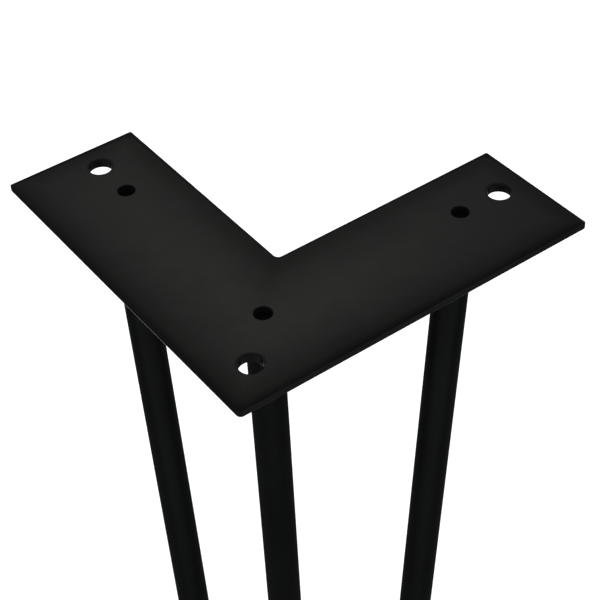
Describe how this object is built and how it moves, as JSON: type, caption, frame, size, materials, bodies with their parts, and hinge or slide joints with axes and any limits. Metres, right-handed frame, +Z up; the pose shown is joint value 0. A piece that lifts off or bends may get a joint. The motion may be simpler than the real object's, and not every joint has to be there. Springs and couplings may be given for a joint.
{
  "type": "hairpin table leg",
  "caption": "Black steel hairpin table leg: an L-shaped mounting plate on a bent hairpin bar and a corner bar, welded together at the foot.",
  "frame": {"origin": "on the plate's top face, where the centrelines of the plate's two arms cross", "axes": "+Z up out of the top face into the table, the leg reaching down to z = -0.4; +Y from the plate's outer corner to its inner notch; the leg mirrors about x = 0"},
  "size_m": [0.1594, 0.1075, 0.4],
  "materials": {
    "plate_coat": "satin black powder coat",
    "bar_coat": "satin black powder coat",
    "weld_coat": "satin black powder coat over a weld bead"
  },
  "bodies": {
    "root": {"mounting_plate": "plate_coat", "hairpin_rod": "bar_coat", "corner_rod": "bar_coat", "plate_weld_left": "weld_coat", "plate_weld_right": "weld_coat", "plate_weld_corner": "weld_coat", "foot_weld": "weld_coat"}
  },
  "joints": []
}
